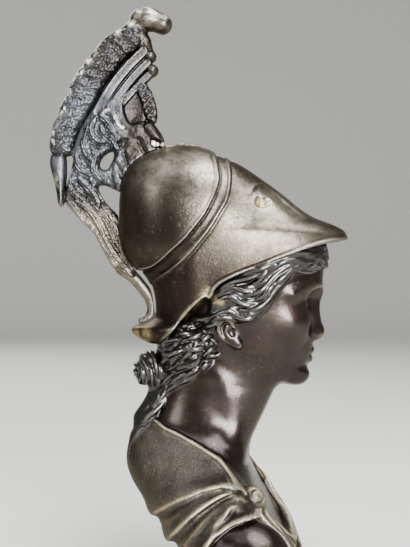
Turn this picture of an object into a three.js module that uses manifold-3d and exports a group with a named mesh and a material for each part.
// Bronze bust of a woman in a pushed-back Greek helmet with a tall crest.
// Millimetres, +Z up. The figure looks along +X, and the origin is the middle of the flat base.
// Outlines named as side views are [x, z] points, seen from the figure's right.

import * as THREE from "three";
import { LoftGeometry } from "three/addons/geometries/LoftGeometry.js";
import { SimplifyModifier } from "three/addons/modifiers/SimplifyModifier.js";
import { mergeVertices } from "three/addons/utils/BufferGeometryUtils.js";
import Module from "manifold-3d";

const wasm = await Module();
wasm.setup();

// Driving dimensions
const HEAD_HEIGHT = 51; // chin to crown, which sets the scale of the whole figure
const HEAD_TILT = THREE.MathUtils.degToRad(6); // the gaze drops a little
const TORSO_TURN = THREE.MathUtils.degToRad(-5.4); // the left shoulder comes forward
const CHIN = new THREE.Vector3(-3.4, 0, 58.9); // under the ears, at chin height
const SHOULDER = new THREE.Vector3(1.5, 33.2, 6.5); // middle of the left shoulder, before the turn
const SHOULDER_RADII = [10.2, 10.6, 13];
const HELMET_CENTRE = new THREE.Vector3(-16, 0, 102);
const HELMET_HALF_WIDTH = 18.8;
const HELMET_SQUARENESS = 2.3; // power of the superellipse across the helmet
const CLOTH = 0.9; // thickness of the dress over the body
const SOLDER_GAP = 0.3; // between the crest and the helmet
const FAR = 80; // past every surface, for cutting outlines
const WELD = 1e-4;
const BUST_FACES = 7000;
const CREST_FACES = 2700;

const BRONZE = { color: 0x2e2622, roughness: 0.38, metalness: 0.85 };
const CREST_BRONZE = { color: 0x2a2725, roughness: 0.45, metalness: 0.85 };

// Basic tools

// A smooth function through [input, value] knots, held level past both ends.
function through(...knots) {
  const inputs = knots.map((knot) => knot[0]);
  const values = knots.map((knot) => knot[1]);
  const curve = new THREE.CubicInterpolant(inputs, values, 1);
  return (t) => curve.evaluate(THREE.MathUtils.clamp(t, inputs[0], inputs.at(-1)))[0];
}

// The power of a number, with its sign kept.
function signedPower(value, power) {
  return Math.sign(value) * Math.abs(value) ** power;
}

// A smooth bump of height 1 at 0, as wide as given.
function bump(distance, width) {
  return Math.exp(-((distance / width) ** 2));
}

// A closed geometry as a solid. Faces shrunk to a line are dropped, and it is turned to face out.
function solid(geometry) {
  const bare = new THREE.BufferGeometry();
  bare.setAttribute("position", geometry.getAttribute("position"));
  bare.setIndex(geometry.getIndex());
  const merged = mergeVertices(bare, WELD);
  const position = merged.getAttribute("position");
  const triangles = [];
  let volume = 0;
  for (let i = 0; i < merged.index.count; i += 3) {
    const corners = [0, 1, 2].map((k) => merged.index.getX(i + k));
    if (new Set(corners).size < 3) continue;
    triangles.push(corners);
    const [a, b, c] = corners.map((k) => new THREE.Vector3().fromBufferAttribute(position, k));
    volume += a.dot(b.cross(c));
  }
  if (volume < 0) triangles.forEach((corners) => corners.reverse());
  const mesh = new wasm.Mesh({
    numProp: 3,
    vertProperties: position.array,
    triVerts: new Uint32Array(triangles.flat()),
  });
  return new wasm.Manifold(mesh);
}

function join(solids) {
  return solids.reduce((whole, piece) => whole.add(piece));
}

function centroid(ring) {
  return ring.reduce((sum, point) => sum.add(point), new THREE.Vector3()).divideScalar(ring.length);
}

// A closed skin over rings of points, which are turned round where they run clockwise.
function loft(rings) {
  const [first, second] = rings.map(centroid);
  const normal = new THREE.Vector3();
  rings[0].forEach((point, i) => {
    const next = rings[0][(i + 1) % rings[0].length];
    normal.add(point.clone().sub(first).cross(next.clone().sub(first)));
  });
  if (normal.dot(second.sub(first)) < 0) rings.forEach((ring) => ring.reverse());
  return solid(new LoftGeometry(rings, { capStart: true, capEnd: true }));
}

// A side view outline, cut through the whole figure from left to right.
function prism(outline) {
  const shape = new THREE.Shape(outline.map(([x, z]) => new THREE.Vector2(x, z)));
  const geometry = new THREE.ExtrudeGeometry(shape, { depth: 2 * FAR, bevelEnabled: false });
  return solid(geometry.translate(0, 0, -FAR).rotateX(Math.PI / 2));
}

// More points on a smooth side view line through the given ones.
function smoothLine(line, pieces = 4 * line.length) {
  const curve = new THREE.SplineCurve(line.map(([x, z]) => new THREE.Vector2(x, z)));
  return curve.getPoints(pieces).map((point) => [point.x, point.y]);
}

// The outline of a band along a side view line, widest in its middle and narrow at its ends.
function band(line, width, endWidth = 0.25 * width) {
  const curve = new THREE.SplineCurve(line.map(([x, z]) => new THREE.Vector2(x, z)));
  const steps = 2 * (line.length - 1);
  const edges = [[], []];
  for (let i = 0; i <= steps; i++) {
    const t = i / steps;
    const point = curve.getPoint(t);
    const tangent = curve.getTangent(t);
    const half = 0.5 * THREE.MathUtils.lerp(endWidth, width, Math.sin(Math.PI * t) ** 0.6);
    edges[0].push([point.x - tangent.y * half, point.y + tangent.x * half]);
    edges[1].unshift([point.x + tangent.y * half, point.y - tangent.x * half]);
  }
  return edges.flat();
}

function ellipsoid([x, y, z], [rx, ry, rz], tilt = 0, columns = 10, rows = 7) {
  const geometry = new THREE.SphereGeometry(1, columns, rows);
  return solid(geometry.scale(rx, ry, rz).rotateY(-tilt).translate(x, y, z));
}

// A strand along a smooth path: rings whose half height and half width follow functions of 0 to 1.
function strand(path, halfHeight, halfWidth, rings = 8, sides = 6) {
  const curve = new THREE.CatmullRomCurve3(path.map((point) => new THREE.Vector3(...point)));
  const across = new THREE.Vector3(0, 1, 0);
  const sections = [];
  for (let i = 0; i <= rings; i++) {
    const t = i / rings;
    const centre = curve.getPointAt(t);
    const tangent = curve.getTangentAt(t);
    const up = new THREE.Vector3().crossVectors(tangent, across).normalize();
    const side = new THREE.Vector3().crossVectors(up, tangent).normalize();
    const section = [];
    for (let k = 0; k < sides; k++) {
      const angle = (2 * Math.PI * k) / sides;
      const point = centre.clone();
      point.addScaledVector(up, Math.cos(angle) * halfHeight(t));
      point.addScaledVector(side, Math.sin(angle) * halfWidth(t));
      section.push(point);
    }
    sections.push(section);
  }
  return loft(sections);
}

// A spindle profile for strands: full in the middle, thin at both ends.
function spindle(radius, end = 0.3) {
  return (t) => radius * THREE.MathUtils.lerp(end, 1, Math.sin(Math.PI * t) ** 0.5);
}

// Torso and neck: superellipse rings whose edges follow the side view of the back and front.
const TORSO = {
  back: through([0, -20.2], [8.4, -19.9], [18, -26], [30, -34.6], [36, -36], [43.5, -34],
    [48, -30], [54, -27], [60, -25.6], [66, -24.6]),
  front: through([0, 14.6], [8.4, 12.8], [16, 9], [21, 6], [29, 1.8], [36, -0.6], [40.5, 0.2],
    [45, 2.2], [49.5, 4.3], [53.4, 6.1], [60, 9], [66, 9]),
  width: through([0, 41.5], [8, 43.2], [13, 43], [18, 40.6], [22, 37.4], [26, 33.2], [30, 28.6],
    [34, 23.6], [38, 18.6], [42, 14.8], [46, 12.3], [50, 11.3], [56, 11.2], [66, 12]),
  middle: through([0, 0], [18, 0], [24, -1.5], [30, -5], [35, -9.5], [40, -14], [44, -14.6],
    [50, -11.5], [56, -9], [66, -8]),
  squareness: 2.3,
  top: 66,
};

function torso(grow = 0, rings = 26, sides = 44) {
  const sections = [];
  for (let i = 0; i <= rings; i++) {
    const z = (TORSO.top * i) / rings;
    const middle = TORSO.middle(z);
    const section = [];
    for (let k = 0; k < sides; k++) {
      const angle = (2 * Math.PI * k) / sides;
      const along = signedPower(Math.cos(angle), 2 / TORSO.squareness);
      const out = signedPower(Math.sin(angle), 2 / TORSO.squareness);
      const reach = along > 0 ? TORSO.front(z) - middle : middle - TORSO.back(z);
      section.push(new THREE.Vector3(middle + along * (reach + grow), out * (TORSO.width(z) + grow), z));
    }
    sections.push(section);
  }
  return loft(sections);
}

// The bare roundness of each shoulder, cut off below with the torso.
function shoulder(side) {
  return ellipsoid([SHOULDER.x, side * SHOULDER.y, SHOULDER.z], SHOULDER_RADII, 0, 22, 14);
}

// Dress
const NECKLINE = [[-45, 52], [-36, 50], [-28.4, 46.9], [-21.5, 44.6], [-15, 42.4], [-7, 37.4],
  [-1.8, 32.8], [0.3, 30], [1.2, 27.4]];
const ARMHOLE = [[8.5, -5], [8, 8], [6.6, 17.1], [4.2, 22.6], [2, 25.4], [-1.2, 25.4], [-4.1, 23.8],
  [-6.8, 21.6], [-11.4, 17.1], [-14, 9], [-15.5, -5]];
const FOLDS = [
  { line: [[-0.4, 31], [-7, 32.6], [-15, 31.2], [-22, 27], [-29, 22], [-37, 18]], width: 3, height: 1.2 },
  { line: [[-1, 29.2], [-8, 28.4], [-16, 24], [-21.5, 19], [-26, 13], [-32, 8]], width: 3.2, height: 1.5 },
  { line: [[-1, 27.4], [-7, 24.8], [-13, 19], [-18, 9], [-20, 2]], width: 2.8, height: 1.3 },
];
const HEM = 1; // the rolled edge stands this far out of the cloth
const RIGHT_BROOCH = new THREE.Vector3(2.9, -30.4, 27.6);
const LEFT_BROOCH = new THREE.Vector3(-0.5, 31.5, 25.6);
const BROOCH_RADIUS = 3;
const COWL_DEPTHS = [13, 6.5, -1]; // where the folds hung between the brooches cross the middle
const COWL_TOP = 27;

// The front surface of the torso at a half width and height.
function chest(y, z) {
  const share = Math.min(1, Math.abs(y) / TORSO.width(z));
  const bulge = (1 - share ** TORSO.squareness) ** (1 / TORSO.squareness);
  return TORSO.middle(z) + bulge * (TORSO.front(z) - TORSO.middle(z));
}

// Height of a fold hung between the brooches, at a half width.
function cowl(y, depth) {
  return depth + (COWL_TOP - depth) * Math.abs(y / RIGHT_BROOCH.y) ** 1.8;
}

function cowlFold(depth, radius) {
  const path = [];
  const reach = Math.abs(RIGHT_BROOCH.y) - 1;
  const steps = 12;
  for (let k = 0; k <= steps; k++) {
    const y = THREE.MathUtils.lerp(-reach, reach, k / steps);
    const z = cowl(y, depth);
    path.push(new THREE.Vector3(chest(y, Math.max(z, 0)) + 0.5, y, z));
  }
  const geometry = new THREE.ExtrudeGeometry(new THREE.Shape().absarc(0, 0, radius, 0, 2 * Math.PI), {
    extrudePath: new THREE.CatmullRomCurve3(path),
    steps: 2 * steps,
    curveSegments: 8,
    bevelEnabled: false,
  });
  return solid(geometry);
}

// What stands out from the torso by a height, within a side view outline.
function raisedOnTorso(outline, height) {
  return torso(height).intersect(prism(outline));
}

// The cloth of the back and shoulders, below the neckline and around the armholes.
function backCloth() {
  const below = [...smoothLine(NECKLINE), [NECKLINE.at(-1)[0], -FAR], [-FAR, -FAR]];
  return raisedOnTorso(below, CLOTH).subtract(prism(smoothLine(ARMHOLE)));
}

// The cloth of the chest, under the highest fold between the brooches.
function frontCloth() {
  const outline = [new THREE.Vector2(-FAR, -FAR), new THREE.Vector2(FAR, -FAR)];
  const steps = 12;
  for (let k = 0; k <= steps; k++) {
    const y = THREE.MathUtils.lerp(RIGHT_BROOCH.y, -RIGHT_BROOCH.y, k / steps);
    outline.push(new THREE.Vector2(-y, cowl(y, COWL_DEPTHS[0])));
  }
  const geometry = new THREE.ExtrudeGeometry(new THREE.Shape(outline), { depth: FAR, bevelEnabled: false });
  geometry.rotateX(Math.PI / 2).rotateZ(Math.PI / 2);
  return torso(CLOTH).intersect(solid(geometry)).subtract(prism(smoothLine(ARMHOLE)));
}

function dress() {
  const neckHem = raisedOnTorso(band(NECKLINE.slice(1), 2, 1.6), CLOTH + HEM);
  const armHem = raisedOnTorso(band(ARMHOLE, 2, 1.6), CLOTH + HEM);
  const folds = FOLDS.map((fold) => raisedOnTorso(band(fold.line, fold.width), CLOTH + fold.height));
  const cowls = COWL_DEPTHS.map((depth) => cowlFold(depth, 1.5));
  return join([backCloth(), frontCloth(), neckHem, armHem, ...folds, ...cowls,
    brooch(RIGHT_BROOCH), brooch(LEFT_BROOCH)]);
}

// A round button that gathers the cloth on each shoulder.
function brooch(place) {
  const lean = 0.6;
  const geometry = new THREE.SphereGeometry(1, 14, 8);
  geometry.scale(BROOCH_RADIUS, 0.8 * BROOCH_RADIUS, BROOCH_RADIUS);
  geometry.rotateX(Math.sign(place.y) * lean);
  return solid(geometry.translate(...place.toArray()));
}

// Head: rings across a tilted axis from the chin up. Heights and depths are in the head's own frame.
const HEAD = {
  front: through([-1.5, 9], [0, 15], [1.2, 19.2], [3.5, 21], [6.6, 19.6], [10, 20.4], [14, 21],
    [18, 21], [22, 21], [26, 21.1], [29, 21.7], [36, 21.8], [43, 20.2], [47, 16]),
  back: through([-1.5, -4], [0, -6], [4, -9], [10, -16], [16, -20], [24, -22], [36, -22], [47, -17]),
  width: through([-1.5, 5], [0, 8], [1.5, 9.6], [4, 11], [8, 12.8], [12, 14.2], [16, 15.3],
    [20, 15.9], [24, 16.2], [34, 16.6], [40, 16.4], [47, 12.5]),
  middle: 1,
  squareness: 2.25,
};
const NOSE_BASE = 0.28 * HEAD_HEIGHT;
const EYE_LINE = 0.5 * HEAD_HEIGHT;
const BROW_LINE = 0.565 * HEAD_HEIGHT;
const MOUTH_LINE = 0.188 * HEAD_HEIGHT;
const EYE_SPACING = 0.13 * HEAD_HEIGHT; // from the middle of the face to each eye
const EYE_DEPTH = 16.4;
const EYE_RADII = [3, 3.4, 1.9];

// From the head's frame (depth, half width, height) to the figure's.
function headPoint(depth, y, height) {
  const point = new THREE.Vector3(depth, y, height);
  return point.applyAxisAngle(new THREE.Vector3(0, 1, 0), HEAD_TILT).add(CHIN);
}

// How far the features stand out from the plain oval of the face.
function feature(y, height) {
  const noseLength = BROW_LINE - NOSE_BASE - 1.5;
  const noseShare = THREE.MathUtils.clamp((BROW_LINE - height) / noseLength, 0, 1);
  const underNose = THREE.MathUtils.smoothstep(height, NOSE_BASE - 0.6, NOSE_BASE + 1);
  const bridge = 1 - THREE.MathUtils.smoothstep(height, BROW_LINE - 3, BROW_LINE + 3);
  const nose = underNose * (bridge + 4.6 * noseShare ** 1.15) * bump(y, 1.9 + 1.3 * noseShare);
  const nostrils = 1.6 * bump(Math.abs(y) - 3, 1.5) * bump(height - NOSE_BASE - 1.6, 1.6);
  const sockets = -2.6 * bump(Math.abs(y) - EYE_SPACING, 4) * bump(height - EYE_LINE, 2.6);
  const brow = 0.7 * bump(Math.abs(y) - EYE_SPACING, 5) * bump(height - BROW_LINE - 0.4, 1.5);
  const upperLip = bump(height - MOUTH_LINE - 1.5, 1);
  const lowerLip = bump(height - MOUTH_LINE + 1.4, 1);
  const lips = 1.1 * bump(y, 4.6) * (upperLip + lowerLip);
  const mouth = -0.8 * bump(y, 5) * bump(height - MOUTH_LINE, 0.6);
  const chin = 0.6 * bump(y, 4) * bump(height - 3.6, 2.4);
  return nose + nostrils + sockets + brow + lips + mouth + chin;
}

// Half width of the bare head at a depth and height in its own frame.
function headSide(depth, height) {
  const edge = depth > HEAD.middle ? HEAD.front(height) : HEAD.back(height);
  const share = Math.min(1, (depth - HEAD.middle) / (edge - HEAD.middle));
  return HEAD.width(height) * (1 - share ** HEAD.squareness) ** (1 / HEAD.squareness);
}

function head() {
  const heights = [-1.5, 0, 1.4, 3, 5, 6.6, 7.8, 8.8, 9.6, 10.4, 11.4, 12.6, 13.6, 14.6, 15.6, 17,
    19, 21, 23, 24.5, 26, 27.5, 29, 31, 34, 38, 42, 47];
  const sides = 44;
  const sections = heights.map((height) => {
    const section = [];
    for (let k = 0; k < sides; k++) {
      const turn = (2 * k) / sides - 1;
      const angle = Math.PI * signedPower(turn, 1.45);
      const along = signedPower(Math.cos(angle), 2 / HEAD.squareness);
      const y = signedPower(Math.sin(angle), 2 / HEAD.squareness) * HEAD.width(height);
      const edge = along > 0 ? HEAD.front(height) : HEAD.back(height);
      let depth = HEAD.middle + Math.abs(along) * (edge - HEAD.middle);
      if (along > 0) depth += feature(y, height) * along;
      section.push(headPoint(depth, y, height));
    }
    return section;
  });
  return loft(sections);
}

// Almond shapes in the sockets.
function eyes() {
  return [-1, 1].map((side) => {
    const centre = headPoint(EYE_DEPTH, side * EYE_SPACING, EYE_LINE);
    return ellipsoid(centre.toArray(), EYE_RADII, -HEAD_TILT, 14, 8);
  });
}

// Helmet: a body blown up from its side view outline, which is given about the helmet's centre.
const HELMET_OUTLINE = [[30.2, 101], [28.6, 102.9], [26.1, 104.4], [18.6, 107.4], [12, 112.2],
  [3.6, 118.5], [-5.4, 124], [-11.1, 126.1], [-18, 127.6], [-24, 127.3], [-28.5, 126.1], [-33, 123.7],
  [-36, 120.3], [-37.7, 115.5], [-38.2, 108], [-37.9, 102], [-36.4, 96], [-34, 92.7], [-31, 89.5],
  [-28.6, 85], [-26.8, 73], [-23, 58], [-16, 50], [8, 54], [24, 66], [31.5, 80], [33, 90], [32, 97]];

// The outline's distance from the helmet's centre, as a function of the angle around it.
const helmetReach = (() => {
  const turns = HELMET_OUTLINE.map(([x, z]) => {
    const along = x - HELMET_CENTRE.x;
    const up = z - HELMET_CENTRE.z;
    return [THREE.MathUtils.euclideanModulo(Math.atan2(up, along), 2 * Math.PI), Math.hypot(along, up)];
  });
  turns.sort((one, other) => one[0] - other[0]);
  const before = turns.slice(-3).map(([angle, reach]) => [angle - 2 * Math.PI, reach]);
  const after = turns.slice(0, 3).map(([angle, reach]) => [angle + 2 * Math.PI, reach]);
  return through(...before, ...turns, ...after);
})();

function helmetBody(grow = 0, columns = 48, rows = 22) {
  const geometry = new THREE.SphereGeometry(1, columns, rows);
  const position = geometry.getAttribute("position");
  const point = new THREE.Vector3();
  const share = 2 / HELMET_SQUARENESS;
  for (let i = 0; i < position.count; i++) {
    point.fromBufferAttribute(position, i);
    const angle = THREE.MathUtils.euclideanModulo(Math.atan2(point.z, point.x), 2 * Math.PI);
    const reach = signedPower(Math.hypot(point.x, point.z), share) * (helmetReach(angle) + grow);
    const y = signedPower(point.y, share) * (HELMET_HALF_WIDTH + grow);
    position.setXYZ(i, Math.cos(angle) * reach, y, Math.sin(angle) * reach);
  }
  return solid(geometry.translate(...HELMET_CENTRE.toArray()));
}

// The back of the skirt, which draws in under the dome and flares into a neck guard.
const SKIRT = {
  back: through([66, -25], [68.5, -27.5], [69.6, -30], [71, -33], [72.6, -35.2], [74.6, -35],
    [75.6, -32.4], [76.8, -29.8], [79, -27.8], [82.5, -27.4], [87, -29], [91, -31.6]),
  heights: [66, 68.5, 69.6, 71, 72.6, 74.6, 75.6, 76.8, 79, 82.5, 87, 91],
  front: -6,
  width: 17.4,
};

function skirt(grow = 0) {
  const sides = 24;
  const middle = HELMET_CENTRE.x;
  return loft(SKIRT.heights.map((z) => {
    const section = [];
    for (let k = 0; k < sides; k++) {
      const angle = (2 * Math.PI * k) / sides;
      const edge = Math.cos(angle) > 0 ? SKIRT.front - middle : middle - SKIRT.back(z) + grow;
      const x = middle + Math.cos(angle) * edge;
      section.push(new THREE.Vector3(x, Math.sin(angle) * (SKIRT.width + grow), z));
    }
    return section;
  }));
}

const RIM_FRONT = [[40, 100.6], [30, 100.4], [25.5, 100], [21, 99], [15, 97.2], [9, 95], [3.6, 92.8],
  [-1.5, 90.9], [-5.4, 89.2], [-8.4, 87.6], [-10.4, 85.8], [-11.3, 83.8]];
const RIM_BACK = [[-12.3, 82.6], [-13.6, 83.2], [-16.5, 81], [-20.1, 77.1], [-23.4, 72.9],
  [-26.5, 70], [-30, 69.2], [-33, 70.6], [-37, 72.5], [-45, 73]];
const CAP_EDGE = [[-9, 134], [-10.2, 127], [-9.6, 123.9], [-9, 120], [-9.3, 117], [-11.1, 112.5],
  [-13.5, 108], [-16.5, 104.1], [-19.5, 100.5], [-23.4, 96.9], [-27, 93.6], [-31, 91.4], [-40, 90.5]];
const CAP_STEP = 1;
const COLLAR = [[-7.4, 127], [-6.4, 123], [-6.1, 118.5], [-7, 113.1], [-9.3, 108.9], [-12, 104.4],
  [-15, 100.5], [-18, 96.9], [-21, 93.9], [-25, 90.8], [-30, 87.4]];
const BROW = [[-0.4, 113.6], [1, 116.2], [3.6, 117.4], [6.5, 116.5], [11, 112.8], [17, 107.8],
  [23, 104.9], [28, 103]];
const EYE_HOLE = [[0.6, 113.2], [2.4, 115.8], [5, 116], [8, 113.9], [5.5, 111.2], [2.4, 110.8]];
const EYE_HOLE_DEPTH = 1.3;
const BRIM_WALL = 1.3;
const BRIM_HOLLOW = [[12, 60], [40, 60], [40, 101.6], [25, 101.6], [12, 99]];

function raisedOnHelmet(outline, height) {
  return helmetBody(height).intersect(prism(outline));
}

function helmet() {
  const cap = raisedOnHelmet([...smoothLine(CAP_EDGE), [-FAR, 90.5], [-FAR, 160], [-9, 160]], CAP_STEP);
  const collar = raisedOnHelmet(band(COLLAR, 1.6, 1.2), 0.7);
  const brow = raisedOnHelmet(band(BROW, 1.8, 0.8), 0.9);
  const rim = raisedOnHelmet(band([...RIM_FRONT.slice(1), ...RIM_BACK.slice(0, 1)], 2.8, 2.4), 0.8);
  const eyeHole = prism(smoothLine([...EYE_HOLE, EYE_HOLE[0]])).subtract(helmetBody(-EYE_HOLE_DEPTH));
  const shape = join([helmetBody().subtract(eyeHole), skirt(), cap, collar, brow, rim]);
  const above = [...smoothLine(RIM_FRONT), ...smoothLine(RIM_BACK), [-FAR, 73], [-FAR, 180], [FAR, 180],
    [FAR, 100.6]];
  const brim = helmetBody(-BRIM_WALL).intersect(prism(BRIM_HOLLOW));
  return shape.intersect(prism(above)).subtract(brim);
}

// Hair
const HAIRLINE = [[21, 98.6], [15.5, 95], [11, 92], [6.7, 88.6], [3.5, 84.3], [1.8, 81.1], [-1.1, 78.8],
  [-4.6, 77.6], [-9, 77]];
const HAIR_TOP = [[20, 100.5], [15, 98.4], [9.5, 96.2], [4.5, 94.2], [-0.5, 92], [-5, 89.5], [-9, 86.5],
  [-12, 83], [-15, 80.5]];

// The point on the side of the head that is seen at [x, z], raised a little.
function onHead(x, z, side, raise) {
  const seen = new THREE.Vector3(x, 0, z).sub(CHIN);
  seen.applyAxisAngle(new THREE.Vector3(0, 1, 0), -HEAD_TILT);
  return [x, side * (headSide(seen.x, seen.z) + raise), z];
}

// Wavy locks run back from the parting over the temples, between the hairline and the helmet.
function templeLocks(side) {
  const hairline = new THREE.SplineCurve(HAIRLINE.map(([x, z]) => new THREE.Vector2(x, z)));
  const hairTop = new THREE.SplineCurve(HAIR_TOP.map(([x, z]) => new THREE.Vector2(x, z)));
  const count = 5;
  const steps = 10;
  const locks = [];
  for (let i = 0; i < count; i++) {
    const path = [];
    for (let k = 0; k <= steps; k++) {
      const t = k / steps;
      const share = i / (count - 1);
      const place = hairline.getPoint(t).lerp(hairTop.getPoint(t), share);
      const wave = 0.7 * Math.sin(11 * t + 1.7 * i) * Math.sin(Math.PI * t);
      const raise = 0.3 + 0.5 * Math.sin(9 * t + 2.1 * i) ** 2;
      path.push(onHead(place.x, place.y + wave, side, raise));
    }
    locks.push(strand(path, spindle(2.1, 0.4), spindle(1.6, 0.5), 12, 6));
  }
  return locks;
}

function napeHair() {
  const mass = ellipsoid([-17.5, 0, 69.5], [10.5, 14, 7.5], 0.35, 16, 10);
  const bun = ellipsoid([-28.8, 0, 61.3], [5.8, 6, 5.8], 0.2);
  const ears = [-1, 1].map((side) => ellipsoid([-6.5, side * 15.6, 73], [3, 2.2, 5], -0.35));
  return [mass, bun, ...ears];
}

// Loose strands from the knot, down the nape and the middle of the back.
function backHair() {
  const strands = [];
  for (const y of [-3.4, 0, 3.4]) {
    const path = [[-27, 0.7 * y, 60.5], [-29.4, y, 54], [-31.8, y, 48.5], [-34.8, 1.2 * y, 43],
      [-36.2, 1.4 * y, 36], [-35, 1.6 * y, 29]];
    strands.push(strand(path, spindle(1.7), spindle(2.1), 8, 6));
  }
  for (const side of [-1, 1]) {
    const path = [[-23.5, side * 5, 64], [-25, side * 5.3, 57], [-27.3, side * 5.6, 50],
      [-31.6, side * 5.8, 45]];
    strands.push(strand(path, spindle(1.3), spindle(1.5), 6, 6));
  }
  return strands;
}

function bust() {
  const turn = (piece) => {
    const pivot = new THREE.Vector3(TORSO.middle(40), 0, 0);
    return piece.warp((vertex) => {
      const point = new THREE.Vector3(...vertex).sub(pivot);
      point.applyAxisAngle(new THREE.Vector3(0, 0, 1), TORSO_TURN).add(pivot);
      vertex[0] = point.x;
      vertex[1] = point.y;
    });
  };
  const body = turn(join([torso(), dress(), shoulder(-1), shoulder(1)]));
  const hair = [...templeLocks(-1), ...templeLocks(1), ...napeHair(), ...backHair()];
  const whole = join([body, head(), ...eyes(), helmet(), ...hair]);
  const floor = prism([[-FAR, 0], [FAR, 0], [FAR, 200], [-FAR, 200]]);
  return whole.intersect(floor);
}

// Crest
const PLUME_SPINE = [[-32, 161.4], [-36.4, 159.2], [-41.6, 154.8], [-46.8, 149], [-50.8, 141.6],
  [-53.8, 134], [-55.8, 127.4], [-57.2, 121], [-57.4, 115.6], [-57, 111.8]];

function plume() {
  const height = through([0, 4.2], [0.12, 5.3], [0.3, 6], [0.55, 5.4], [0.72, 4], [0.86, 2.4], [1, 1]);
  const width = through([0, 3], [0.2, 3.5], [0.6, 3.2], [0.85, 2.2], [1, 1]);
  return strand(PLUME_SPINE.map(([x, z]) => [x, 0, z]), height, width, 22, 12);
}

// The front end of the plume curls over into a knob.
function plumeKnob() {
  return [
    ellipsoid([-30.2, 0, 166.6], [5.9, 4.2, 4], 0, 16, 10),
    ellipsoid([-25.8, 0, 165], [2.7, 3.5, 3.2], 0, 12, 8),
    strand([[-32, 0, 165], [-32, 0, 160], [-31.6, 0, 155]], () => 2.3, () => 3, 3, 8),
  ];
}

// Three rails under the plume. The two upper ones end in a round bead in front.
function rails() {
  const lines = [
    { path: [[-29.6, 155.4], [-36, 150.6], [-41, 144.8], [-44.4, 138.5]], half: 1.8, bead: [-29.4, 155] },
    { path: [[-29.4, 151.4], [-35, 147.4], [-39, 142.8], [-41.8, 138]], half: 1.6, bead: [-29.4, 151] },
    { path: [[-31, 149.6], [-35, 146], [-38.4, 142], [-40.6, 137]], half: 1.4 },
  ];
  return lines.flatMap(({ path, half, bead }, i) => {
    const width = 3.4 - 0.6 * i;
    const rail = strand(path.map(([x, z]) => [x, 0, z]), () => half, () => width, 7, 8);
    return bead ? [rail, ellipsoid([bead[0], 0, bead[1]], [2, width, 1.9])] : [rail];
  });
}

// Side view of the shaggy mane and the block under the beast, which stand on the helmet together.
const MANE = [[-45.9, 140.1], [-43.2, 139.8], [-41.1, 138.6], [-39, 135.3], [-36.9, 132.9],
  [-35.7, 135.3], [-32.4, 136.2], [-30.3, 135.3], [-29.1, 132.6], [-28.8, 129.3], [-27.6, 127.2],
  [-30, 123], [-34.5, 117], [-37.2, 114.3], [-38.7, 114.6], [-43.2, 116.7], [-45.3, 116.4],
  [-44.7, 114], [-42.9, 111.3], [-40.5, 108.9], [-38.7, 106.8], [-36.6, 102.9], [-35.4, 97.5],
  [-33, 92.1], [-34.8, 88.8], [-37.8, 89.4], [-40.8, 91.8], [-43.2, 95.7], [-45, 99], [-47.1, 102.9],
  [-49.8, 105.3], [-52.5, 108.3], [-54.9, 111], [-55.5, 114], [-54.6, 117.6], [-53.7, 120.9],
  [-52.8, 125.1], [-51, 129.9], [-48.9, 135]];
const MANE_HOLE = [[-42.3, 126.6], [-43.8, 125.4], [-45, 123.3], [-44.4, 121.8], [-42.9, 121.8],
  [-41.7, 123.6], [-40.8, 125.7], [-41.1, 126.9]]; // runs the other way round
const MANE_HALF = 3.2; // half thickness
const MANE_ROUNDING = 1.4;

// A side view outline made into a plate with rounded edges, in the middle of the figure.
function plate(outline, hole, half, rounding) {
  const shape = new THREE.Shape(outline.map(([x, z]) => new THREE.Vector2(x, z)));
  shape.holes.push(new THREE.Path(hole.map(([x, z]) => new THREE.Vector2(x, z))));
  const geometry = new THREE.ExtrudeGeometry(shape, {
    depth: 2 * (half - rounding),
    bevelThickness: rounding,
    bevelSize: 0.8 * rounding,
    bevelOffset: -0.8 * rounding,
    bevelSegments: 2,
  });
  return solid(geometry.translate(0, 0, rounding - half).rotateX(Math.PI / 2));
}

// The crouching beast that carries the crest: wing, mane of its head, breast, paws and haunches.
function beast() {
  return [
    strand([[-39.5, 0, 146], [-38.8, 0, 138], [-36, 0, 130]], () => 2.4, () => 2.2, 4, 8),
    strand([[-33, 0, 149], [-30.6, 0, 145.4], [-29.9, 0, 141], [-30.6, 0, 136]], () => 1.7, () => 3, 6, 8),
    ellipsoid([-29.4, 0, 133.4], [3.6, 3.8, 2.3], -0.65, 12, 8),
    strand([[-31.6, 0, 136], [-33.4, 0, 131], [-34, 0, 124]], (t) => 2.6 + 2 * t, () => 4.3, 4, 10),
    strand([[-37, 0, 131], [-39, 0, 124], [-41, 0, 118.5]], () => 2.6, () => 3.9, 4, 8),
  ];
}

// Ragged tufts that stand out of both sides of the mane.
function tufts() {
  const lines = [
    [[-44, 137.5], [-40.5, 134], [-38.6, 130.5]],
    [[-47.5, 134.5], [-46, 129.5], [-46.5, 124]],
    [[-51, 126], [-49.5, 120], [-50.5, 114.5]],
    [[-49.6, 117.5], [-45, 113], [-41.8, 106.5]],
    [[-52.4, 111.5], [-47.5, 106.5], [-43.5, 99.5]],
    [[-44.4, 101.5], [-40, 96.5], [-36.5, 91]],
  ];
  return lines.flatMap((line) => [-1, 1].map((side) => {
    const path = line.map(([x, z]) => [x, side * (MANE_HALF - 0.4), z]);
    return strand(path, spindle(1.3), spindle(0.9), 6, 6);
  }));
}

// The round strand from the foot of the mane down to the neck guard.
function neckStrand() {
  const path = [[-38, 0, 91.6], [-34.8, 0, 89.3], [-32, 0, 86], [-29.9, 0, 82.8], [-29.2, 0, 79.6],
    [-30.2, 0, 77.4], [-32, 0, 76.6]];
  return strand(path, () => 1.4, () => 1.6, 10, 8);
}

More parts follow.
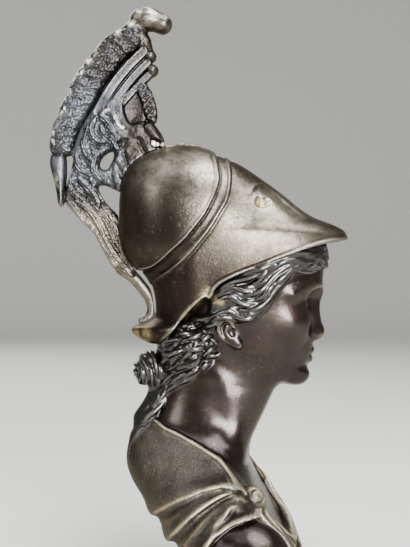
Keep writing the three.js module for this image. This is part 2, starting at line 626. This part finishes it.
function crest() {
  const mane = plate(MANE, MANE_HOLE, MANE_HALF, MANE_ROUNDING);
  const shape = join([plume(), ...plumeKnob(), ...rails(), mane, ...beast(), ...tufts(), neckStrand()]);
  const room = helmetBody(CAP_STEP + SOLDER_GAP).add(skirt(SOLDER_GAP));
  return shape.subtract(room);
}

// Scene

// The faces of the largest connected skin, without the pockets that hair and helmet close over.
function outerSkin(faces, pointCount) {
  const leader = Array.from({ length: pointCount }, (_, i) => i);
  const leaderOf = (i) => {
    while (leader[i] !== i) {
      leader[i] = leader[leader[i]];
      i = leader[i];
    }
    return i;
  };
  for (let i = 0; i < faces.length; i += 3) {
    leader[leaderOf(faces[i + 1])] = leaderOf(faces[i]);
    leader[leaderOf(faces[i + 2])] = leaderOf(faces[i]);
  }
  const skins = new Map();
  for (let i = 0; i < faces.length; i += 3) {
    const key = leaderOf(faces[i]);
    if (!skins.has(key)) skins.set(key, []);
    skins.get(key).push(faces[i], faces[i + 1], faces[i + 2]);
  }
  return [...skins.values()].reduce((most, skin) => (skin.length > most.length ? skin : most));
}

// The faces left when those folded flat onto each other are taken away in pairs.
function withoutFolded(faces) {
  const single = new Map();
  for (let i = 0; i < faces.length; i += 3) {
    const corners = [faces[i], faces[i + 1], faces[i + 2]];
    const key = [...corners].sort((one, other) => one - other).join();
    if (!single.delete(key)) single.set(key, corners);
  }
  return [...single.values()].flat();
}

// A named mesh of the solid, thinned to about the given number of faces where it is smooth.
async function meshOf(name, piece, faces, finish) {
  const { vertProperties, triVerts } = piece.getMesh();
  const skin = outerSkin(triVerts, vertProperties.length / 3);
  const dense = new THREE.BufferGeometry();
  dense.setAttribute("position", new THREE.BufferAttribute(vertProperties, 3));
  dense.setIndex(skin);
  const surplus = Math.max(0, Math.round((skin.length / 3 - faces) / 2));
  const thinned = await new SimplifyModifier().modify(dense, surplus);
  const geometry = mergeVertices(thinned, WELD);
  geometry.setIndex(withoutFolded(geometry.index.array));
  geometry.computeVertexNormals();
  const mesh = new THREE.Mesh(geometry, new THREE.MeshStandardMaterial(finish));
  mesh.name = name;
  return mesh;
}

const figure = new THREE.Group();
figure.add(await meshOf("bust", bust(), BUST_FACES, BRONZE));
figure.add(await meshOf("crest", crest(), CREST_FACES, CREST_BRONZE));

export default figure;
